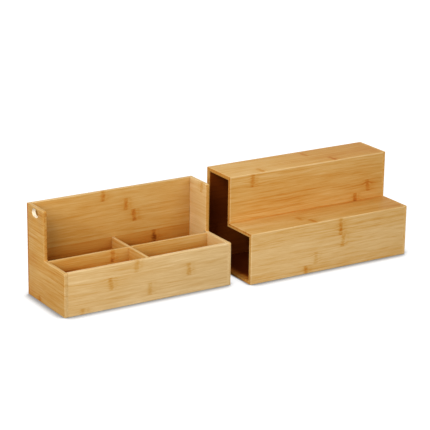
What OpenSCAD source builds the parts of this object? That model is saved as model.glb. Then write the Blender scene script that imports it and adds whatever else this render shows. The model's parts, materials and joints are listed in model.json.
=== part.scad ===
// Kitchen organizer of pressed bamboo boards: a stepped two-tier shelf, open at one end, and
// a divided caddy that slides into it like a drawer.
// The origin is the middle of the shelf's underside. +X runs along the shelf, away from its
// open end, +Y runs from front to back, and +Z is up. Lengths are in millimetres.

/* [Shelf] */
// Length of the shelf
shelf_l = 341; // [300:1:400]
// Depth of the shelf, front to back
shelf_d = 150; // [140:1:180]
// Height of the shelf over its upper tier
shelf_h = 179.2; // [160:0.2:220]
// Height of the lower tier
tier_h = 93.6; // [80:0.2:110]
// Depth of the lower tier's tread, front to riser
tread_d = 71.4; // [60:0.2:80]
// Thickness of the bamboo boards
board = 7; // [6:0.1:8]
// Thickness of the shelf's base board
base_board = 5; // [4:0.1:6]
// Radius of the shelf's eased long edges
edge_r = 1.2; // [0.6:0.1:2]

/* [Shelf joints] */
// How deep the base board is let into the front and back boards
base_let_in = 3; // [2:0.1:4]
// How far the end board's shoulder stands into the shelf
end_shoulder = 2; // [1:0.1:3]

/* [Caddy boards] */
// Thickness of the two dividers
divider_board = 5; // [4:0.1:6]
// Thickness of the caddy's base board
tray_board = 4; // [3:0.1:5]
// Height of the tray board's underside over the caddy's lower edge
tray_lift = 3; // [2:0.1:6]
// Distance from the caddy's front face to the middle of the long divider
long_divider_y = 70.4; // [50:0.2:71]
// Radius of the side boards' exposed corners
corner_r = 3; // [1:0.1:5]
// Radius in the inner corner of the side boards' step
step_r = 2; // [0.5:0.1:4]

/* [Finger slot] */
// Length of the finger slot, front to back
slot_w = 22; // [18:0.5:26]
// Height of the finger slot
slot_h = 14; // [12:0.5:16]
// Distance from the caddy's upper edge to the middle of the slot
slot_drop = 10.5; // [9.5:0.5:20]

/* [Caddy joints] */
// How deep boards and dividers are let into the boards that carry them
let_in = 2; // [1:0.1:3]
// Thickness of the tongues on the front board's ends
tongue_t = 3; // [2:0.1:3.5]
// Distance from the front board's face to its tongues
tongue_inset = 1.5; // [1:0.1:2]
// Distance from the front board's upper edge to the top of its tongues
tongue_stop = 12; // [8:0.5:20]

/* [Fit of the caddy in the shelf] */
// Clearance between the caddy and the boards beside it, on each side
side_clear = 0.3; // [0.2:0.05:1]
// Clearance under the caddy as it slides on the base board
under_clear = 0.3; // [0.2:0.05:1]
// Clearance between the caddy's low walls and the tread
low_head_clear = 3.8; // [2:0.1:6]
// Clearance between the caddy's tall walls and the top board
tall_head_clear = 2.5; // [2:0.1:6]
// Clearance between the caddy's tall part and the riser
riser_clear = 3; // [1:0.1:5]
// How much shorter the caddy is than the space inside the shelf
caddy_short = 8; // [2:0.5:12]
// Gap between the pulled-out caddy and the shelf's mouth
pull_gap = 36.9; // [10:0.1:60]

/* [Hidden] */

// Overrun of a cut past the face that it goes through
cut = 1;
$fn = 48;

// Bamboo as the photograph shows it: face boards, boards in the shade, end boards
face_colour = [0.83, 0.69, 0.45];
shade_colour = [0.74, 0.52, 0.26];
side_colour = [0.77, 0.57, 0.32];

// Shelf places: depth from the front face, so a section is drawn with the front at zero
shelf_x0 = -shelf_l / 2;
shelf_x1 = shelf_l / 2;
shelf_y0 = -shelf_d / 2;
end_flange = board - end_shoulder;
boards_l = shelf_l - end_flange;

// Caddy sizes, from the space that the shelf leaves for it
caddy_z0 = base_board + under_clear;
caddy_y0 = shelf_y0 + board + side_clear;
caddy_d = shelf_d - 2 * board - 2 * side_clear;
caddy_l = shelf_l - board - caddy_short;
caddy_x0 = shelf_x0 - pull_gap - caddy_l;
low_h = tier_h - board - low_head_clear - caddy_z0;
tall_h = shelf_h - board - tall_head_clear - caddy_z0;
tall_y = tread_d + riser_clear - side_clear;
inner_l = caddy_l - 2 * board;
tray_top = tray_lift + tray_board;
divider_h = low_h - tray_top;
lap_h = divider_h / 2;

// Outline helpers

// Rectangle from the origin with round corners
module round_rect(w, h, r) {
    translate([r, 0]) square([w - 2 * r, h]);
    translate([0, r]) square([w, h - 2 * r]);
    for (x = [r, w - r], y = [r, h - r]) {
        translate([x, y]) circle(r);
    }
}

// Stepped outline: a low part in front and a tall part from step_y to the back
module step_outline(depth, low, tall, step_y, r) {
    round_rect(depth, low, r);
    translate([step_y, 0]) round_rect(depth - step_y, tall, r);
}

// Extrude a section, drawn as depth against height, along X
module along_x(x, length) {
    translate([x, 0, 0]) rotate([90, 0, 90]) linear_extrude(length) children();
}

// Shelf section

// Corners of the shelf's section, outside and inside, from the back's foot over both tiers
outer_corners = [
    [shelf_d, 0], [shelf_d, shelf_h], [tread_d, shelf_h],
    [tread_d, tier_h], [0, tier_h], [0, 0]
];
inner_corners = [
    [shelf_d - board, 0], [shelf_d - board, shelf_h - board], [tread_d + board, shelf_h - board],
    [tread_d + board, tier_h - board], [board, tier_h - board], [board, 0]
];

// Space inside the shelf above its base board
module cavity_outline() {
    translate([board, base_board]) {
        square([shelf_d - 2 * board, tier_h - board - base_board]);
        translate([tread_d, 0]) {
            square([shelf_d - tread_d - 2 * board, shelf_h - board - base_board]);
        }
    }
}

// Base board's section, let into the boards in front of it and behind it
module base_outline() {
    translate([board - base_let_in, 0]) {
        square([shelf_d - 2 * board + 2 * base_let_in, base_board]);
    }
}

// One board of the section, mitred at its corners i and i + 1
module mitred_board(i) {
    along_x(shelf_x0, boards_l) translate([shelf_y0, 0]) difference() {
        intersection() {
            step_outline(shelf_d, tier_h, shelf_h, tread_d, edge_r);
            polygon([outer_corners[i], outer_corners[i + 1], inner_corners[i + 1], inner_corners[i]]);
        }
        base_outline();
    }
}

// Shelf boards

module shelf_base() {
    color(shade_colour) along_x(shelf_x0, boards_l) translate([shelf_y0, 0]) base_outline();
}

module shelf_back() {
    color(face_colour) mitred_board(0);
}

module shelf_top() {
    color(face_colour) mitred_board(1);
}

module shelf_riser() {
    color(face_colour) mitred_board(2);
}

module shelf_tread() {
    color(face_colour) mitred_board(3);
}

module shelf_front() {
    color(face_colour) mitred_board(4);
}

// End board: a flange that covers the boards' ends, and a shoulder that fills the section
module shelf_end() {
    color(side_colour) {
        along_x(shelf_x1 - end_flange, end_flange) translate([shelf_y0, 0]) {
            step_outline(shelf_d, tier_h, shelf_h, tread_d, edge_r);
        }
        along_x(shelf_x1 - board, end_shoulder) translate([shelf_y0, 0]) cavity_outline();
    }
}

// Caddy, drawn with its lower front left corner at the origin

module place_caddy() {
    translate([caddy_x0, caddy_y0, caddy_z0]) children();
}

// Tray board, let into all four walls
module tray() {
    translate([board - let_in, board - let_in, tray_lift]) {
        cube([inner_l + 2 * let_in, caddy_d - 2 * board + 2 * let_in, tray_board]);
    }
}

// Long divider without its notch, from side board to side board
module long_blank() {
    translate([board - let_in, long_divider_y - divider_board / 2, tray_top]) {
        cube([inner_l + 2 * let_in, divider_board, divider_h]);
    }
}

// Cross divider without its notch, from front board to back board
module cross_blank() {
    translate([(caddy_l - divider_board) / 2, board - let_in, tray_top]) {
        cube([divider_board, caddy_d - 2 * board + 2 * let_in, divider_h]);
    }
}

// Tongue on one end of the front board, from x
module front_tongue(x) {
    translate([x, tongue_inset, 0]) cube([let_in, tongue_t, low_h - tongue_stop]);
}

// Side board's outline: the low part in front, the tall part behind, a fillet in the step
module side_outline() {
    depth = caddy_d - board + let_in;
    difference() {
        union() {
            step_outline(depth, low_h, tall_h, tall_y, corner_r);
            // square corners at the foot and along the back, where the boards meet
            square([depth, corner_r]);
            translate([depth - corner_r, 0]) square([corner_r, tall_h]);
            translate([tall_y - step_r, low_h - corner_r]) square([step_r, corner_r + step_r]);
        }
        translate([tall_y - step_r, low_h + step_r]) circle(step_r);
    }
}

// Side board from x, with housings for all that seats in it
module side_board(x) {
    difference() {
        along_x(x, board) side_outline();
        tray();
        long_blank();
        front_tongue(board - let_in);
        front_tongue(caddy_l - board);
    }
}

// Finger slot through the left side board, in the middle of its tall part
module finger_slot() {
    slot_x = (slot_w - slot_h) / 2;
    translate([-cut, (tall_y + caddy_d) / 2, tall_h - slot_drop]) rotate([0, 90, 0]) {
        for (y = [-slot_x, slot_x]) {
            translate([0, y, 0]) cylinder(h = board + 2 * cut, d = slot_h);
        }
        translate([-slot_h / 2, -slot_x, 0]) cube([slot_h, 2 * slot_x, board + 2 * cut]);
    }
}

// Caddy boards

module caddy_left_side() {
    color(side_colour) place_caddy() difference() {
        side_board(0);
        finger_slot();
    }
}

module caddy_right_side() {
    color(side_colour) place_caddy() side_board(caddy_l - board);
}

module caddy_front() {
    color(face_colour) place_caddy() difference() {
        union() {
            translate([board, 0, 0]) cube([inner_l, board, low_h]);
            front_tongue(board - let_in);
            front_tongue(caddy_l - board);
        }
        tray();
        cross_blank();
    }
}

// Back board, rebated at its ends for the side boards
module caddy_back() {
    color(face_colour) place_caddy() difference() {
        translate([0, caddy_d - board, 0]) cube([caddy_l, board, tall_h]);
        for (x = [-cut, caddy_l - board]) {
            translate([x, caddy_d - board - cut, -cut]) {
                cube([board + cut, let_in + cut, tall_h + 2 * cut]);
            }
        }
        tray();
        cross_blank();
    }
}

module caddy_base() {
    color(shade_colour) place_caddy() tray();
}

// The dividers cross in a halving joint: the long one is notched from above, the cross one
// from below, each to half its height
module caddy_long_divider() {
    color(face_colour) place_caddy() difference() {
        long_blank();
        translate([(caddy_l - divider_board) / 2, 0, tray_top + lap_h]) {
            cube([divider_board, caddy_d, lap_h + cut]);
        }
    }
}

module caddy_cross_divider() {
    color(side_colour) place_caddy() difference() {
        cross_blank();
        translate([0, long_divider_y - divider_board / 2, tray_top - cut]) {
            cube([caddy_l, divider_board, lap_h + cut]);
        }
    }
}

shelf_base();
shelf_back();
shelf_top();
shelf_riser();
shelf_tread();
shelf_front();
shelf_end();
caddy_left_side();
caddy_right_side();
caddy_front();
caddy_back();
caddy_base();
caddy_long_divider();
caddy_cross_divider();
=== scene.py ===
"""Looks of the bamboo kitchen organizer: a stepped shelf and the caddy that slides into it.

Lengths are in metres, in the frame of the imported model, except where a heading says millimetres.
Boards keep their CAD meshes and get eased edges and procedural bamboo.
"""

import json
import math

import bpy
from mathutils import Matrix, Vector


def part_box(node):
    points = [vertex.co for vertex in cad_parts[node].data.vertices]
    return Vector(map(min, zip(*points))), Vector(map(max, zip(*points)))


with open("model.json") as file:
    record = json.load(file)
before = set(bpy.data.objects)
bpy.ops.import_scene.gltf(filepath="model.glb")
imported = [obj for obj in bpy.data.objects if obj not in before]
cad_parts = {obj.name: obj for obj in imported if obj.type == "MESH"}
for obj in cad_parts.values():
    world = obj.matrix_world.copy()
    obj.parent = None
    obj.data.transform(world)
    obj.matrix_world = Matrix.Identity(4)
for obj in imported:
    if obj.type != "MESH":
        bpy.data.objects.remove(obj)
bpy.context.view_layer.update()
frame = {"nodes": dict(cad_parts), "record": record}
boards = frame["nodes"]

MM = 0.001
AXES = {"X": 0, "Y": 1, "Z": 2}

# Places from the frame: the shelf's open end, and the top of its lower tier
MOUTH_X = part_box("shelf_front")[0].x
TIER_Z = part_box("shelf_tread")[1].z

# Camera, as the photograph was taken
CAMERA_YAW = 0.561
CAMERA_PITCH = 0.313
CAMERA_ROLL = 0.0145
CAMERA_DISTANCE = 3.1833
CAMERA_SIDE_SHIFT = -0.023788
CAMERA_RISE = 0.032065
FOCAL_PIXELS = 1787.4
IMAGE_PIXELS = 430
SENSOR = 36.0
AIM_HEIGHT = 0.075

# Floor
FLOOR_GAP = 0.0001
FLOOR_REACH = 9.0
RAMP_STEPS = 12
FLOOR_COLOUR = (0.25, 0.25, 0.25)
FLOOR_GLOW = 0.9
CONTACT_SHADOW_REACH = 0.026

# How bright the floor's glow is where a share of its surroundings is open: a shadow painted into
# the glow from ambient occlusion where the pieces stand
CONTACT_SHADOW_SHARES = ((0.5, 0.08), (0.62, 0.28), (0.76, 0.72), (0.9, 0.95), (1.0, 1.0))

# Light. Each lamp has its place, its size and its power.
SKY_LEVEL = 0.45
BACKDROP_LEVEL = 1.0
LAMP_AIM = (-0.2, 0, 0.05)
LAMPS = {
    "key": ((-10.0, -6.6, 7.0), 8.4, 1570),
    "front_fill": ((3.9, -9.8, 5.1), 7.5, 425),
    "rear_fill": ((-2.2, 5.6, 3.0), 4.0, 112),
}

# Eased edges
EASE = 0.0008
EASE_SEGMENTS = 3
JOINT_SHARE = 0.14
SHARP_DEGREES = 35
FLAT_DEGREES = 0.5
ON_PLANE = 0.00003
WELD = 0.00002

# Bamboo, in millimetres
STRIP = 22.5
PLIES = 2
PLY_MARGIN = 0.01
PLY_STAGGER = 0.5
KNOT_SPAN = 1000.0
SEED_START = 1.3
SEED_STEP = 3.7
STRIP_SHIFT = 40.0

# Textures: the parts of their place, their cells for each millimetre, detail and roughness
TEXTURES = {
    "jitter": ("vu", (0.55, 0.08), 4.0, 0.65),
    "mottle": ("vu", (0.18, 0.2), 2.0, 0.55),
    "patches": ("vu", (0.4, 0.12), 3.0, 0.55),
    "bend": ("uv", (0.008, 0.04), 2.0, 0.55),
    "broad": ("uv", (0.012, 0.02), 2.0, 0.55),
    "fine": ("uvw", (0.013, 0.9, 0.9), 5.0, 0.65),
    "fleck": ("uvw", (0.035, 0.45, 0.4), 4.0, 0.6),
    "flame": ("uvw", (0.011, 0.22, 0.1), 3.0, 0.55),
    "orange": ("uvw", (0.006, 0.3, 0.1), 2.0, 0.5),
    "pores": ("vw", (2.2, 2.6), 2.0, 0.55),
}

# Course of knots and fibres, in millimetres
JITTER = 9.0
SLANT = 6.0
BEND = 9.0
SWELL = 2.6
SWELL_FADE = (0.0, 14.0)

# Marks of a knot, in millimetres from its middle
CORE_FADE = (0.8, 6.6)
GAP_PLACE = 5.2
GAP_FADE = (0.4, 2.4)
BAND_PLACE = 9.5
BAND_FADE = (0.5, 5.5)
HALO_FADE = (2.0, 10.0)
CLOUD_FADE = (5.0, 26.0)
MOTTLE_FADE = (0.35, 0.62, 0.6, 1.1)
PATCH_FADE = (0.36, 0.6, 0.0, 1.0)

# Marks differ in strength from strip to strip
LEAST_STRENGTH = 0.7
MORE_STRENGTH = 0.6

# How much each of these darkens the wood
CORE_TONE = 0.14
GAP_TONE = -0.02
BAND_TONE = 0.05
HALO_TONE = 0.07
CLOUD_TONE = 0.03
STRIP_TONE = 0.09
BROAD_TONE = 0.16
FINE_TONE = 0.4
FLECK_TONE = 0.26
FLAME_TONE = 0.24
SEAM_TONE = 0.03
PORE_TONE = 0.1
PLY_TONE = 0.06
ORANGE_FADE = (0.5, 0.66, 0.0, 1.0)
SEAM_FADE = (0.93, 0.98, 0.0, 1.0)

# How much of the figure each unit of tone in glooms takes away, where they paint shade or light or
# darken a strip
WASH_FIGURE_CALM = -2.0

# Faces, told by how much of the normal lies along an axis
FACE_FADE = (0.96, 0.995, 0.0, 1.0)
ROUNDED_FADE = (0.93, 0.998)
OUTER_FADE = (-0.3, 0.1, 0.0, 1.0)
EDGE_FADE = (0.5, 0.8, 0.0, 1.0)
END_FADE = (0.6, 0.85, 0.0, 1.0)
END_CORNER_FADE = (0.1, 0.3, 0.0, 1.0)
CUT_FADE = (0.5, 0.8)

# Rims and sawn ends, in millimetres, and the glue line in plies from the side in sight
RIM_FADE = (1.1, 2.3)
LOW_END_FADE = (4.0, 5.0)
GLUE_PLACE = 0.62
GLUE_FADE = (0.25, 0.55)

# Satin lacquer
ROUGHNESS = 0.38
FIBRE_ROUGHNESS = 0.16
END_ROUGHNESS = 0.12
LACQUER_IOR = 1.45
LACQUER_GLOSS = 0.035
KNOT_RELIEF = 0.4
SEAM_RELIEF = -0.4
BUMP_STRENGTH = 0.3
BUMP_DEPTH = 0.00012


def srgb(red, green, blue):
    """Linear colour of an sRGB colour given as 0 to 255."""
    def linear(value):
        share = value / 255
        return share / 12.92 if share <= 0.04045 else ((share + 0.055) / 1.055) ** 2.4
    return (linear(red), linear(green), linear(blue), 1)


class Graph:
    """Short calls that add nodes to a shader tree or a geometry tree and link them."""

    def __init__(self, tree):
        self.tree = tree

    def add(self, kind, inputs=(), **settings):
        node = self.tree.nodes.new(kind)
        for name, value in settings.items():
            setattr(node, name, value)
        for socket, value in dict(inputs).items():
            self.feed(node.inputs[socket], value)
        return node

    def feed(self, socket, value):
        if isinstance(value, bpy.types.NodeSocket):
            self.tree.links.new(value, socket)
        else:
            socket.default_value = value

    def math(self, operation, *values):
        node = self.add("ShaderNodeMath", operation=operation)
        for socket, value in zip(node.inputs, values):
            self.feed(socket, value)
        return node.outputs[0]

    def vector(self, x, y, z):
        return self.add("ShaderNodeCombineXYZ", {"X": x, "Y": y, "Z": z}).outputs[0]

    def centred(self, value):
        """value from 0 to 1, moved to lie round zero."""
        return self.math("SUBTRACT", value, 0.5)

    def fade(self, value, start, end, low=1.0, high=0.0):
        """Smooth change from low to high as value goes from start to end."""
        node = self.add("ShaderNodeMapRange", interpolation_type="SMOOTHSTEP")
        for socket, given in zip(node.inputs, (value, start, end, low, high)):
            self.feed(socket, given)
        return node.outputs[0]

    def noise(self, place, detail, roughness):
        inputs = {"Vector": place, "Scale": 1.0, "Detail": detail, "Roughness": roughness}
        return self.add("ShaderNodeTexNoise", inputs, noise_dimensions="3D").outputs[0]

    def scatter(self, place):
        """Three random values that stay the same over a cell."""
        node = self.add("ShaderNodeTexWhiteNoise", {"Vector": place}, noise_dimensions="3D")
        return self.add("ShaderNodeSeparateColor", {"Color": node.outputs["Color"]}).outputs

    def ramp(self, value, stops, interpolation="LINEAR"):
        node = self.add("ShaderNodeValToRGB", {"Fac": value})
        node.color_ramp.interpolation = interpolation
        elements = node.color_ramp.elements
        while len(elements) < len(stops):
            elements.new(1.0)
        for element, (place, colour) in zip(elements, stops):
            element.position = place
            element.color = colour
        return node.outputs["Color"]


# Bamboo colours, from pale edges, sanded and with a painted highlight, to the painted shade deep in
# a box
BAMBOO_COLOURS = [
    (0.0, srgb(242, 216, 168)),
    (0.2, srgb(224, 190, 136)),
    (0.35, srgb(213, 175, 117)),
    (0.5, srgb(204, 158, 90)),
    (0.65, srgb(194, 138, 62)),
    (0.8, srgb(184, 111, 36)),
    (0.9, srgb(132, 64, 14)),
    (1.0, srgb(92, 35, 6)),
]
# Bare wood of the finger slot's cut walls, painted paler still as a highlight
BARE_WOOD_AND_HIGHLIGHT = srgb(246, 230, 202)

# As dark as the wood's own figure may get on BAMBOO_COLOURS
DARKEST = 0.82


class Board:
    """Grain of one board.

    grain names the axes along the fibres, across the strips and through the thickness, and its
    sign tells the side in sight. start is where the first strip begins. knots holds up to two
    places for each strip, in millimetres. tone is how dark the board is on BAMBOO_COLOURS. strips
    adds a tone to each strip, and drift darkens the board from one end to the other.
    streaks is the strength of orange streaks. worn is how pale the eased edges are: sanded wear,
    with a painted highlight where they catch the light. rims are the sides whose pale edges reach
    over onto the face, sanded wear with a painted highlight. sawn is how dark the board is on its
    end at the low side, and on its other ends, and glue how dark the line between its plies is
    there.
    Each entry of glooms is an axis, the place where it begins, the place where it is full, the tone
    that it adds, which is below zero where it lightens, and the normals of the faces that get it;
    most of them are painted shade or painted light. fresh is a box whose cut walls are bare wood,
    painted paler still as a highlight. vivid scales the fibres.
    """

    def __init__(self, grain, start, tone, knots, strips=(), drift=0.0, streaks=0.1, wear_and_highlight=0.2,
                 rims=(), sawn=(0.15, 0.15), glue=0.03, glooms=(), fresh=None, vivid=1.0):
        self.along, self.across, self.through = (AXES[letter] for letter in grain[:3])
        self.facing = -1 if grain[3] == "-" else 1
        self.start, self.tone, self.knots = start, tone, knots
        self.strips, self.drift, self.streaks = strips, drift, streaks
        self.wear_and_highlight, self.rims, self.sawn, self.glue = wear_and_highlight, rims, sawn, glue
        self.glooms, self.fresh, self.vivid = glooms, fresh, vivid


def lookup(g, index, values, span=1.0):
    """Value of a table of numbers, none below 0, at a whole index, as a constant ramp."""
    count = len(values)
    stops = [(i / count, (value / span, value / span, value / span, 1))
             for i, value in enumerate(values)]
    place = g.math("DIVIDE", g.math("ADD", index, 0.5), float(count))
    return g.math("MULTIPLY", g.ramp(place, stops, "CONSTANT"), span)


class Bamboo:
    """Pressed bamboo of one board: strips with knots, fibres, and plies that show at the edges.

    Places are in millimetres. u runs along the grain, v across the strips, w through the plies.
    """

    def __init__(self, name, board, seed):
        self.board = board
        self.seed = seed
        self.low, self.high = ([value / MM for value in corner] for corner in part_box(name))
        self.material = bpy.data.materials.new(name)
        self.material.use_nodes = True
        self.g = g = Graph(self.material.node_tree)

        coordinates = g.add("ShaderNodeTexCoord").outputs
        scaled = g.add("ShaderNodeVectorMath", operation="SCALE")
        g.feed(scaled.inputs[0], coordinates["Object"])
        scaled.inputs["Scale"].default_value = 1 / MM
        self.place = g.add("ShaderNodeSeparateXYZ", {"Vector": scaled.outputs[0]}).outputs
        self.normal = g.add("ShaderNodeSeparateXYZ", {"Vector": coordinates["Normal"]}).outputs
        axes = (board.along, board.across, board.through)
        self.u, self.v, self.w = (self.place[axis] for axis in axes)
        self.start_u, self.end_u = self.low[board.along], self.high[board.along]

        # How much of the normal lies along u, v and w
        self.sides = [g.math("ABSOLUTE", self.normal[axis]) for axis in axes]

        # Which ply, counted from the side in sight
        sight = (self.low if board.facing < 0 else self.high)[board.through]
        ply_t = (self.high[board.through] - self.low[board.through]) / PLIES
        self.deep = g.math("MULTIPLY", g.math("SUBTRACT", self.w, sight), -board.facing / ply_t)
        ply = g.math("FLOOR", g.math("ADD", self.deep, PLY_MARGIN))
        self.ply = g.math("MINIMUM", g.math("MAXIMUM", ply, 0.0), PLIES - 1.0)

        # Which strip, and the random values that it keeps
        strips = g.math("DIVIDE", g.math("SUBTRACT", self.v, board.start), STRIP)
        strips = g.math("ADD", strips, g.math("MULTIPLY", self.ply, PLY_STAGGER))
        self.strip = g.math("FLOOR", strips)
        self.in_strip = g.math("FRACT", strips)
        self.rand = g.scatter(g.vector(self.strip, self.ply, seed))
        self.shift = g.math("MULTIPLY_ADD", self.rand[0], STRIP_SHIFT, seed)

    def texture(self, name, offset, **moved):
        """Noise from TEXTURES. offset makes it differ, and moved replaces u, v or w."""
        g = self.g
        letters, cells, detail, roughness = TEXTURES[name]
        places = {"u": self.u, "v": self.v, "w": self.w, **moved}
        parts = [g.math("MULTIPLY", places[letter], size) for letter, size in zip(letters, cells)]
        depth = g.math("ADD", parts[2], offset) if len(parts) == 3 else offset
        return g.noise(g.vector(parts[0], parts[1], depth), detail, roughness)

    def from_knot(self):
        """Distance along the grain from the nearest knot. The hidden ply has them mirrored."""
        g = self.g
        mirrored = g.math("SUBTRACT", self.start_u + self.end_u, self.u)
        grain_u = g.math("ADD", g.math("MULTIPLY", self.u, g.math("SUBTRACT", 1.0, self.ply)),
                         g.math("MULTIPLY", mirrored, self.ply))
        jitter = g.math("MULTIPLY", g.centred(self.texture("jitter", self.shift)), JITTER)
        slant = g.math("MULTIPLY", g.centred(self.in_strip), g.centred(self.rand[0]))
        jitter = g.math("MULTIPLY_ADD", slant, SLANT, jitter)
        jittered = g.math("SUBTRACT", g.math("ADD", grain_u, jitter), self.start_u)

        # Strips with fewer than two knots have the others far beyond the board
        rows = [([knot - self.start_u for knot in row] + [KNOT_SPAN] * 2)[:2]
                for row in self.board.knots]
        firsts, seconds = (lookup(g, self.strip, column, KNOT_SPAN) for column in zip(*rows))
        to_first = g.math("SUBTRACT", jittered, firsts)
        to_second = g.math("SUBTRACT", jittered, seconds)
        second_near = g.math("LESS_THAN", g.math("ABSOLUTE", to_second),
                             g.math("ABSOLUTE", to_first))
        return g.math("ADD", g.math("MULTIPLY", to_second, second_near),
                      g.math("MULTIPLY", to_first, g.math("SUBTRACT", 1.0, second_near)))

    def knot_marks(self, from_knot, away):
        """Core, gap, band, halo and cloud of a knot, each from 0 to about 1."""
        g = self.g
        patches = self.texture("patches", self.seed)
        mottle = g.fade(self.texture("mottle", self.shift), *MOTTLE_FADE)
        core = g.math("MULTIPLY", g.fade(away, *CORE_FADE), mottle)
        to_gap = g.math("ABSOLUTE", g.math("SUBTRACT", from_knot, GAP_PLACE))
        gap = g.fade(to_gap, *GAP_FADE)
        to_band = g.math("ABSOLUTE", g.math("SUBTRACT", from_knot, BAND_PLACE))
        band = g.math("MULTIPLY", g.fade(to_band, *BAND_FADE), g.fade(patches, *PATCH_FADE))
        halo = g.math("MULTIPLY", g.fade(away, *HALO_FADE), patches)
        cloud = g.fade(away, *CLOUD_FADE)
        return core, gap, band, halo, cloud

    def fibres(self, away):
        """Fine, fleck, flame and orange textures, along fibres that bend round the knots."""
        g = self.g
        bend = g.math("MULTIPLY", g.centred(self.texture("bend", self.shift)), BEND)
        wave = g.math("SINE", g.math("MULTIPLY", self.in_strip, math.tau))
        swell = g.math("MULTIPLY", g.fade(away, *SWELL_FADE), wave)
        bent = g.math("MULTIPLY_ADD", swell, SWELL, g.math("ADD", self.v, bend))
        fine, fleck, flame = (self.texture(name, self.shift, v=bent)
                              for name in ("fine", "fleck", "flame"))
        return fine, fleck, flame, self.texture("orange", self.seed, v=bent)

    def figure(self, marks, fibres, seam):
        """Figure of the wood: what knots, fibres and seams add to the board's tone."""
        g = self.g
        fine, fleck, flame, orange = fibres
        figure = g.math("MULTIPLY", g.centred(self.rand[1]), STRIP_TONE)
        for texture, tone in ((self.texture("broad", self.seed), BROAD_TONE),
                              (fine, FINE_TONE * self.board.vivid),
                              (fleck, FLECK_TONE * self.board.vivid),
                              (flame, FLAME_TONE)):
            figure = g.math("MULTIPLY_ADD", g.centred(texture), tone, figure)
        figure = g.math("MULTIPLY_ADD", g.fade(orange, *ORANGE_FADE), self.board.streaks, figure)
        strength = g.math("MULTIPLY_ADD", self.rand[2], MORE_STRENGTH, LEAST_STRENGTH)
        tones = (CORE_TONE, GAP_TONE, BAND_TONE, HALO_TONE, CLOUD_TONE)
        for mark, tone in zip(marks, tones):
            figure = g.math("MULTIPLY_ADD", g.math("MULTIPLY", mark, strength), tone, figure)
        return g.math("MULTIPLY_ADD", seam, SEAM_TONE, figure)

    def level(self, figure):
        """How dark the wood is here on BAMBOO_COLOURS, before its edges are worn."""
        g, board = self.g, self.board
        middle = (self.start_u + self.end_u) / 2
        slope = board.drift / (self.end_u - self.start_u)
        drift = g.math("MULTIPLY", g.math("SUBTRACT", self.u, middle), slope)
        level = g.math("ADD", g.math("ADD", figure, drift), board.tone)
        if board.strips:
            level = g.math("ADD", level, lookup(g, self.strip, board.strips))
        level = g.math("MINIMUM", level, DARKEST)

        # Where glooms paint shade or light onto faces, or darken a strip, their figure fades with
        # it
        for axis, near, far, tone, ways in board.glooms:
            faces = 0.0
            for way in ways:
                sign = -1.0 if way[1] == "-" else 1.0
                side = g.math("MULTIPLY", self.normal[AXES[way[0]]], sign)
                faces = g.math("MAXIMUM", faces, g.fade(side, *FACE_FADE))
            reach = g.fade(self.place[AXES[axis]], near, far, 0.0, 1.0)
            wash_share = g.math("MULTIPLY", faces, reach)
            level = g.math("MULTIPLY_ADD", wash_share, tone, level)
            level = g.math("MULTIPLY_ADD", g.math("MULTIPLY", figure, wash_share), WASH_FIGURE_CALM * tone,
                           level)
        return level

    def outer(self):
        """1 on the side in sight and round its edges, 0 on the hidden side."""
        g, board = self.g, self.board
        side = g.math("MULTIPLY", self.normal[board.through], float(board.facing))
        return g.fade(side, *OUTER_FADE)

    def wear_and_highlight(self, outer):
        """1 on the eased edges and the bands beside them, which are pale: sanded wear with a
        painted highlight.
        """
        g, sides = self.g, self.sides
        flat = g.math("MAXIMUM", g.math("MAXIMUM", sides[0], sides[1]), sides[2])
        wear_and_highlight = g.math("MULTIPLY", g.fade(flat, *ROUNDED_FADE), outer)
        wear_and_highlight = g.math("MAXIMUM", wear_and_highlight, g.fade(sides[1], *EDGE_FADE))
        for letter, sign in self.board.rims:
            edge = (self.low if sign == "-" else self.high)[AXES[letter]]
            to_edge = g.math("ABSOLUTE", g.math("SUBTRACT", self.place[AXES[letter]], edge))
            wear_and_highlight = g.math("MAXIMUM", wear_and_highlight, g.fade(to_edge, *RIM_FADE))
        return wear_and_highlight

    def on_end(self, outer):
        """1 on the sawn ends, with their inner rounded edges."""
        g = self.g
        corner = g.math("MULTIPLY", g.fade(self.sides[0], *END_CORNER_FADE),
                        g.math("SUBTRACT", 1.0, outer))
        return g.math("MAXIMUM", corner, g.fade(self.sides[0], *END_FADE))

    def end_tone(self):
        """What a sawn end adds to the level: pores, plies and the line between them."""
        g, board = self.g, self.board
        low_end, other_end = board.sawn
        on_low_end = g.fade(g.math("SUBTRACT", self.u, self.start_u), *LOW_END_FADE)
        tone = g.math("MULTIPLY_ADD", on_low_end, low_end - other_end, other_end)
        pores = g.centred(self.texture("pores", self.seed))
        tone = g.math("MULTIPLY_ADD", pores, PORE_TONE, tone)
        tone = g.math("MULTIPLY_ADD", g.centred(self.ply), PLY_TONE, tone)
        to_glue = g.math("ABSOLUTE", g.math("SUBTRACT", self.deep, GLUE_PLACE))
        return g.math("MULTIPLY_ADD", g.fade(to_glue, *GLUE_FADE), board.glue, tone)

    def freshly_cut(self, colour):
        """colour, with bare wood, painted paler still as a highlight, on walls cut within the
        board's box for that.
        """
        g = self.g
        cut = g.fade(self.sides[2], *CUT_FADE)
        for axis, (first, last) in enumerate(zip(*self.board.fresh)):
            middle, reach = (first + last) / 2 / MM, (last - first) / 2 / MM
            to_middle = g.math("ABSOLUTE", g.math("SUBTRACT", self.place[axis], middle))
            cut = g.math("MULTIPLY", cut, g.math("LESS_THAN", to_middle, reach))
        mix = g.add("ShaderNodeMix", {"Factor": cut}, data_type="RGBA")
        g.feed(mix.inputs["A"], colour)
        mix.inputs["B"].default_value = BARE_WOOD_AND_HIGHLIGHT
        return mix.outputs["Result"]

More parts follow.
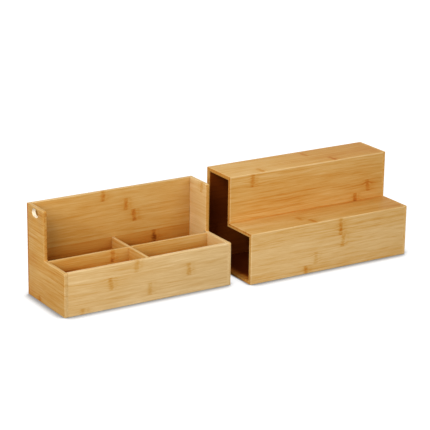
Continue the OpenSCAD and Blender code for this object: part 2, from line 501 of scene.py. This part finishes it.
    def lacquer(self, fine, core, seam, on_end):
        """Satin lacquer over the fibres."""
        g = self.g
        shader = self.material.node_tree.nodes["Principled BSDF"]
        rough = g.math("MULTIPLY_ADD", fine, FIBRE_ROUGHNESS, ROUGHNESS)
        rough = g.math("MULTIPLY_ADD", on_end, END_ROUGHNESS, rough)
        g.feed(shader.inputs["Roughness"], rough)
        height = g.math("MULTIPLY_ADD", core, KNOT_RELIEF, fine)
        height = g.math("MULTIPLY_ADD", seam, SEAM_RELIEF, height)
        inputs = {"Height": height, "Strength": BUMP_STRENGTH, "Distance": BUMP_DEPTH}
        bump = g.add("ShaderNodeBump", inputs)
        g.feed(shader.inputs["Normal"], bump.outputs[0])
        shader.inputs["IOR"].default_value = LACQUER_IOR
        shader.inputs["Specular IOR Level"].default_value = LACQUER_GLOSS
        return shader

    def make(self):
        """The finished material."""
        g, board = self.g, self.board
        from_knot = self.from_knot()
        away = g.math("ABSOLUTE", from_knot)
        marks = self.knot_marks(from_knot, away)
        fibres = self.fibres(away)

        # From 0 in the middle of a strip to 1 at its borders
        border = g.math("MULTIPLY", g.math("ABSOLUTE", g.centred(self.in_strip)), 2.0)
        seam = g.fade(border, *SEAM_FADE)
        level = self.level(self.figure(marks, fibres, seam))

        outer = self.outer()
        on_end = self.on_end(outer)
        # Eased edges and the bands beside them are paler: sanded wear with a painted highlight
        on_wear_and_highlight = g.math("MULTIPLY", self.wear_and_highlight(outer), g.math("SUBTRACT", 1.0, on_end))
        level = g.math("MULTIPLY_ADD", on_wear_and_highlight, -board.wear_and_highlight, level)
        level = g.math("ADD", level, g.math("MULTIPLY", on_end, self.end_tone()))

        shader = self.lacquer(fibres[0], marks[0], seam, on_end)
        colour = g.ramp(level, BAMBOO_COLOURS)
        g.feed(shader.inputs["Base Color"], self.freshly_cut(colour) if board.fresh else colour)
        return self.material


def opening(name, spread):
    """Box of an opening in the record, made larger by spread on all sides."""
    boxes = {item["name"]: item["box_m"] for item in frame["record"]["physics"]["openings"]}
    low, high = boxes[name]
    return [value - spread for value in low], [value + spread for value in high]


# Tones along an axis, in millimetres: painted shade inside the shelf and low in the caddy, painted
# light low on the shelf's back, a painted highlight at the riser's top, a darker line at the foot
# of the riser, and a darker strip low on the caddy's back
MOUTH_MM, TIER_MM = MOUTH_X / MM, TIER_Z / MM
# Painted shade inside the shelf, from just within its open end, and over a longer way on its floor
SHELF_PAINTED_SHADE = ("X", MOUTH_MM, MOUTH_MM + 3.5, 0.46)
BASE_PAINTED_SHADE = ("X", MOUTH_MM, MOUTH_MM + 22.5, 0.3)
# Painted light: lighter towards the bottom of the shelf back's inner face
BACK_PAINTED_LIGHT_LOW = ("Z", 100.0, 30.0, -0.05, ("Y-",))
STEP_LINE = ("Z", TIER_MM + 2.0, TIER_MM + 0.4, 0.14, ("Y-",))
# Painted highlight: a pale band along the riser's top
RISER_TOP_PAINTED_HIGHLIGHT = ("Z", 161.5, 162.5, -0.07, ("Y-",))
# Painted shade: darker towards the bottom inside the caddy, more so on its side boards
CADDY_PAINTED_SHADE = ("Z", 84.0, 50.0, 0.2)
SIDE_PAINTED_SHADE = ("Z", 88.0, 38.0, 0.32)
# Caddy back's inner face: painted shade from its top downwards, a darker strip below the line at
# 84, painted shade lower down, and painted shade next to the left side board
BACK_PAINTED_SHADE_AND_STRIP_TONE = [("Z", 150.0, 90.0, 0.03, ("Y-",)), ("Z", 84.2, 83.2, 0.17, ("Y-",)),
               ("Z", 84.0, 40.0, 0.13, ("Y-",)), ("X", -440.0, -526.0, 0.03, ("Y-",))]

# Sawn ends round the shelf's open end
MOUTH = {"sawn": (0.1, 0.3), "glue": 0.1}

# Margin round the finger slot within which its walls are bare wood with a painted highlight, in
# metres
SLOT_SPREAD = 0.004

# Strips are counted from the low side of each board
BOARDS = {
    # Its end at the open side is lighter than its other end and than the other boards' ends there,
    # partly as painted light against the shade it stands in
    "shelf_base": Board("XYZ+", -75.0, 0.71, ((-60,), (90,), (-130,), (20,), (-90,), (140,), (0,)),
                        vivid=0.4, sawn=(-0.07, 0.3), glue=0.04, glooms=[(*BASE_PAINTED_SHADE, ("Z+",))]),
    "shelf_back": Board("XZY+", -6.5, 0.5, ((60,), (-110,), (20,), (-60, 150), (110,), (-140,),
                        (30,), (-20, 130)), (0.02, 0.02, 0.02, 0.02, 0.02, 0.01, 0.0, 0.0),
                        rims=("Z+", "X-"), glooms=[(*SHELF_PAINTED_SHADE, ("Y-",)), BACK_PAINTED_LIGHT_LOW], **MOUTH),
    "shelf_top": Board("XYZ+", -2.5, 0.56, ((-99, 59), (), (26,), ()), drift=0.21, streaks=0.08,
                       wear_and_highlight=0.14, rims=("Y-", "Y+"), sawn=(0.18, 0.3), glue=0.12,
                       glooms=[(*SHELF_PAINTED_SHADE, ("Z-",))]),
    "shelf_riser": Board("XZY-", 86.5, 0.545, ((104,), (132,), (), (-123,)),
                         (0.03, 0.02, 0.0, 0.0), drift=0.01, wear_and_highlight=0.18, rims=("Z+", "X-"),
                         glooms=[(*SHELF_PAINTED_SHADE, ("Y+",)), STEP_LINE, RISER_TOP_PAINTED_HIGHLIGHT], **MOUTH),
    "shelf_tread": Board("XYZ+", -75.0, 0.535, ((-32,), (-46,), (), ()), (0.0, 0.0, 0.03, 0.08),
                         drift=0.11, wear_and_highlight=0.16, rims=("Y-",), sawn=(0.03, 0.3), glue=0.26,
                         glooms=[(*SHELF_PAINTED_SHADE, ("Z-",))]),
    "shelf_front": Board("XZY-", -6.5, 0.345, ((-52,), (-31,), (28,), (22,)),
                         (0.11, 0.06, 0.0, 0.03, 0.12), drift=0.02, vivid=1.4,
                         streaks=0.08, wear_and_highlight=0.16, rims=("Z+", "X-"),
                         glooms=[(*SHELF_PAINTED_SHADE, ("Y+",))], **MOUTH),
    "shelf_end": Board("YZX+", -6.5, 0.5, ((30,), (-40,), (), (55,), (20,), (), (25,), (45,)),
                       wear_and_highlight=0.0, sawn=(-0.12, 0.04)),
    "caddy_left_side": Board("YZX-", -6.5, 0.56, ((24,), (), (), (), (), (), (), ()),
                             vivid=1.4, streaks=0.12, wear_and_highlight=0.14, sawn=(-0.18, 0.04),
                             glooms=[(*SIDE_PAINTED_SHADE, ("X+",))],
                             fresh=opening("finger_slot", SLOT_SPREAD)),
    # Paler than the left side board, partly as painted light on its inner face, which the lamps
    # light less
    "caddy_right_side": Board("YZX-", -6.5, 0.34, ((-40,), (20,), (-20,), (), (), (), (), (22,)),
                              streaks=0.05, wear_and_highlight=0.1, sawn=(-0.06, 0.24),
                              glooms=[(*SIDE_PAINTED_SHADE, ("X-",))]),
    # Its drift lightens it towards its right end: painted light where the key lamp's light falls
    # off
    "caddy_front": Board("XZY-", -6.5, 0.24, ((-500,), (-370,), (-445.6, -293), (-395.6,)),
                         (0.0, 0.08, 0.14, 0.04), drift=-0.07, vivid=1.4, streaks=0.06,
                         wear_and_highlight=0.12, rims=("Z+",),
                         glooms=[(*CADDY_PAINTED_SHADE, ("Y+",))]),
    "caddy_back": Board("XZY-", -6.5, 0.525, ((-470,), (-400,), (-330,), (-288,), (), (-329,),
                        (-345,), (-390,)), (0.02, 0.02, 0.02, 0.02, 0.03, 0.05, 0.0, 0.06),
                        drift=-0.04, streaks=0.08, glooms=BACK_PAINTED_SHADE_AND_STRIP_TONE),
    "caddy_base": Board("XYZ+", -67.0, 0.55, ((-460,), (-300,), (-400,), (-260,), (-500,), (-350,)),
                        glooms=[(*CADDY_PAINTED_SHADE, ("Z+",))]),
    "caddy_long_divider": Board("XZY-", -6.5, 0.58, ((-500,), (-420,), (), (-405,)),
                                drift=-0.16, glooms=[(*CADDY_PAINTED_SHADE, ("Y-", "Y+"))]),
    "caddy_cross_divider": Board("YZX-", -6.5, 0.57, ((-40,), (20,), (-30,), ()),
                                 glooms=[(*CADDY_PAINTED_SHADE, ("X-", "X+"))]),
}


def dress():
    """Gives each board its own bamboo."""
    for count, (name, board) in enumerate(BOARDS.items()):
        mesh = boards[name].data
        mesh.materials.clear()
        mesh.materials.append(Bamboo(name, board, SEED_START + SEED_STEP * count).make())


def modifier_tree(name):
    """Geometry tree with a geometry going in and out."""
    tree = bpy.data.node_groups.new(name, "GeometryNodeTree")
    for way in ("INPUT", "OUTPUT"):
        tree.interface.new_socket("Geometry", in_out=way, socket_type="NodeSocketGeometry")
    g = Graph(tree)
    return g, g.add("NodeGroupInput").outputs[0], g.add("NodeGroupOutput").inputs[0]


def plane(axis, value):
    """Plane square to an axis, as its normal and its offset."""
    normal = [0.0, 0.0, 0.0]
    normal[AXES[axis]] = 1.0
    return (tuple(normal), value)


def mitre(y, z, rising):
    """Plane of a mitre through a corner of the shelf's section, as its normal and its offset."""
    normal = Vector((0, 1, -1 if rising else 1)).normalized()
    return (tuple(normal), normal.dot(Vector((0, y, z))))


def edge_weights(name, rules):
    """Modifier tree that weights a board's edges: full where free, less where boards meet.

    Each rule is a share of the easing and one or two planes that hold such edges.
    """
    g, geometry, out = modifier_tree("weights_" + name)
    ends = g.add("GeometryNodeInputMeshEdgeVertices").outputs
    angle = g.add("GeometryNodeInputMeshEdgeAngle").outputs["Signed Angle"]
    weight = g.math("GREATER_THAN", angle, math.radians(SHARP_DEGREES))
    for share, planes in rules:
        held = 1.0
        for normal, offset in planes:
            for end in (ends["Position 1"], ends["Position 2"]):
                dot = g.add("ShaderNodeVectorMath", operation="DOT_PRODUCT")
                g.feed(dot.inputs[0], end)
                dot.inputs[1].default_value = normal
                away = g.math("ABSOLUTE", g.math("SUBTRACT", dot.outputs["Value"], offset))
                held = g.math("MULTIPLY", held, g.math("LESS_THAN", away, ON_PLANE))
        weight = g.math("MULTIPLY", weight, g.math("MULTIPLY_ADD", held, share - 1, 1.0))
    store = g.add("GeometryNodeStoreNamedAttribute", data_type="FLOAT", domain="EDGE")
    g.feed(store.inputs["Geometry"], geometry)
    store.inputs["Name"].default_value = "bevel_weight_edge"
    g.feed(store.inputs["Value"], weight)
    g.feed(out, store.outputs[0])
    return g.tree


def shading_tree():
    """Modifier tree that shades smoothly over small angles and keeps the others sharp."""
    g, geometry, out = modifier_tree("smooth_shading")
    clear = g.add("GeometryNodeRemoveAttribute", {"Geometry": geometry, "Name": "custom_normal"})
    faces = g.add("GeometryNodeSetShadeSmooth", {"Geometry": clear.outputs[0]}, domain="FACE")
    angle = g.add("GeometryNodeInputMeshEdgeAngle").outputs["Unsigned Angle"]
    small = g.math("LESS_THAN", angle, math.radians(SHARP_DEGREES))
    edges = g.add("GeometryNodeSetShadeSmooth", {"Geometry": faces.outputs[0]}, domain="EDGE")
    g.feed(edges.inputs["Shade Smooth"], small)
    g.feed(out, edges.outputs[0])
    return g.tree


def joint_rules():
    """Where each board meets its neighbours, as rules for edge_weights."""
    end_low, end_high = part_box("shelf_end")
    front_low, front_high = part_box("shelf_front")
    base_low, base_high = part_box("shelf_base")
    riser_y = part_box("shelf_riser")[0].y
    end_rule = (JOINT_SHARE, [plane("X", front_high.x)])
    floor = plane("Z", front_low.z)
    base_edges = [(JOINT_SHARE, [floor, plane("Y", y)]) for y in (base_low.y, base_high.y)]
    base_edges.append((JOINT_SHARE, [plane("Z", base_high.z)]))
    front_corner = (0.0, [mitre(end_low.y, TIER_Z, False)])
    step_corner = (0.0, [mitre(riser_y, TIER_Z, False)])
    upper_corner = (0.0, [mitre(riser_y, end_high.z, False)])
    back_corner = (0.0, [mitre(end_high.y, end_high.z, True)])

    left_low, left_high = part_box("caddy_left_side")
    left_inner = plane("X", left_high.x)
    right_inner = plane("X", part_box("caddy_right_side")[0].x)
    side_front, side_back = plane("Y", left_low.y), plane("Y", left_high.y)
    back_rule = (JOINT_SHARE, [side_back])
    cross_low, cross_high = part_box("caddy_cross_divider")
    long_low, long_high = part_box("caddy_long_divider")
    notch = [(JOINT_SHARE, [plane("X", x)]) for x in (cross_low.x, cross_high.x)]
    meets_side = [side_front, plane("Y", long_low.y), plane("Y", long_high.y)]
    return {
        "shelf_base": [end_rule, *base_edges],
        "shelf_back": [end_rule, back_corner, *base_edges],
        "shelf_top": [end_rule, back_corner, upper_corner],
        "shelf_riser": [end_rule, upper_corner, step_corner],
        "shelf_tread": [end_rule, step_corner, front_corner],
        "shelf_front": [end_rule, front_corner, *base_edges],
        "shelf_end": [end_rule],
        "caddy_left_side": [back_rule, *((JOINT_SHARE, [left_inner, y]) for y in meets_side)],
        "caddy_right_side": [back_rule, *((JOINT_SHARE, [right_inner, y]) for y in meets_side)],
        "caddy_front": [(JOINT_SHARE, [left_inner]), (JOINT_SHARE, [right_inner])],
        "caddy_back": [back_rule],
        "caddy_base": [],
        "caddy_long_divider": notch,
        "caddy_cross_divider": [],
    }


def ease_edges():
    """Rounds the boards' free edges slightly, as sanded boards have them."""
    smooth = shading_tree()
    for name, rules in joint_rules().items():
        stack = boards[name].modifiers
        stack.new("weld", "WELD").merge_threshold = WELD
        flat = stack.new("flat", "DECIMATE")
        flat.decimate_type = "DISSOLVE"
        flat.angle_limit = math.radians(FLAT_DEGREES)
        stack.new("weights", "NODES").node_group = edge_weights(name, rules)
        bevel = stack.new("ease", "BEVEL")
        bevel.limit_method = "WEIGHT"
        bevel.width = EASE
        bevel.segments = EASE_SEGMENTS
        bevel.use_clamp_overlap = False
        bevel.loop_slide = False
        stack.new("shading", "NODES").node_group = smooth


def floor_profile():
    """Places along X and heights of the floor: level under the shelf, and up to the caddy."""
    caddy_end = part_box("caddy_right_side")[1].x
    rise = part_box("caddy_front")[0].z
    profile = [(-FLOOR_REACH, rise)]
    for step in range(RAMP_STEPS + 1):
        way = step / RAMP_STEPS
        share = 1 - way
        height = rise * share * share * (3 - 2 * share)
        profile.append((caddy_end + (MOUTH_X - caddy_end) * way, height))
    profile.append((FLOOR_REACH, 0.0))
    return [(x, height - FLOOR_GAP) for x, height in profile]


def make_floor():
    """Pale floor that both pieces stand on, with a shadow painted into its glow from ambient
    occlusion where they stand.
    """
    profile = floor_profile()
    points = [(x, y, height) for x, height in profile for y in (-FLOOR_REACH, FLOOR_REACH)]
    faces = [(2 * i, 2 * i + 2, 2 * i + 3, 2 * i + 1) for i in range(len(profile) - 1)]
    mesh = bpy.data.meshes.new("floor")
    mesh.from_pydata(points, [], faces)
    for face in mesh.polygons:
        face.use_smooth = True
    floor = bpy.data.objects.new("floor", mesh)
    bpy.context.scene.collection.objects.link(floor)
    material = bpy.data.materials.new("floor")
    material.use_nodes = True
    tree = material.node_tree
    tree.nodes.clear()
    g = Graph(tree)
    matt = g.add("ShaderNodeBsdfDiffuse", {"Color": (*FLOOR_COLOUR, 1)})
    # Painted shadow: ambient occlusion darkens the floor's glow where the pieces stand
    near = g.add("ShaderNodeAmbientOcclusion", {"Distance": CONTACT_SHADOW_REACH})
    stops = [(share, (light, light, light, 1)) for share, light in CONTACT_SHADOW_SHARES]
    occlusion_shade = g.ramp(near.outputs["AO"], stops)
    glow = g.add("ShaderNodeEmission", {"Color": occlusion_shade, "Strength": seen(g, FLOOR_GLOW)})
    both = g.add("ShaderNodeAddShader")
    g.feed(both.inputs[0], matt.outputs[0])
    g.feed(both.inputs[1], glow.outputs[0])
    g.add("ShaderNodeOutputMaterial", {"Surface": both.outputs[0]})
    mesh.materials.append(material)


def seen(g, strength):
    """strength for what the camera sees, also in gloss and through glass, and none for light."""
    path = g.add("ShaderNodeLightPath").outputs
    shown = g.math("MAXIMUM", path["Is Camera Ray"], path["Is Glossy Ray"])
    shown = g.math("MAXIMUM", shown, path["Is Transmission Ray"])
    return g.math("MULTIPLY", shown, strength)


def make_world():
    """White backdrop, and soft plain light from all round."""
    world = bpy.data.worlds.new("studio")
    bpy.context.scene.world = world
    world.use_nodes = True
    tree = world.node_tree
    tree.nodes.clear()
    g = Graph(tree)
    strength = g.math("ADD", seen(g, BACKDROP_LEVEL - SKY_LEVEL), SKY_LEVEL)
    sky = g.add("ShaderNodeBackground", {"Color": (1, 1, 1, 1), "Strength": strength})
    g.add("ShaderNodeOutputWorld", {"Surface": sky.outputs[0]})


def area_light(name, place, size, power):
    """Square soft lamp at place, turned to LAMP_AIM."""
    lamp = bpy.data.lights.new(name, "AREA")
    lamp.size = size
    lamp.energy = power
    holder = bpy.data.objects.new(name, lamp)
    holder.location = place
    holder.rotation_mode = "QUATERNION"
    holder.rotation_quaternion = (Vector(LAMP_AIM) - Vector(place)).to_track_quat("-Z", "Y")
    bpy.context.scene.collection.objects.link(holder)


def make_camera():
    """Camera where the photograph was taken from."""
    yaw, pitch, roll = CAMERA_YAW, CAMERA_PITCH, CAMERA_ROLL
    ahead = Vector((math.sin(yaw) * math.cos(pitch), math.cos(yaw) * math.cos(pitch),
                    -math.sin(pitch)))
    level = ahead.cross(Vector((0, 0, 1))).normalized()
    upright = level.cross(ahead)
    right = level * math.cos(roll) + upright * math.sin(roll)
    above = upright * math.cos(roll) - level * math.sin(roll)
    aim = Vector((MOUTH_X, 0, AIM_HEIGHT))
    place = aim - ahead * CAMERA_DISTANCE + right * CAMERA_SIDE_SHIFT + above * CAMERA_RISE
    data = bpy.data.cameras.new("camera")
    data.sensor_width = SENSOR
    data.lens = FOCAL_PIXELS / IMAGE_PIXELS * SENSOR
    data.dof.use_dof = False
    camera = bpy.data.objects.new("camera", data)
    turn = Matrix((right, above, -ahead)).transposed()
    camera.matrix_world = Matrix.Translation(place) @ turn.to_4x4()
    bpy.context.scene.collection.objects.link(camera)
    bpy.context.scene.camera = camera


make_camera()
dress()
ease_edges()
make_floor()
make_world()
for lamp_name, lamp_values in LAMPS.items():
    area_light(lamp_name, *lamp_values)
bpy.context.scene.view_settings.view_transform = "Standard"
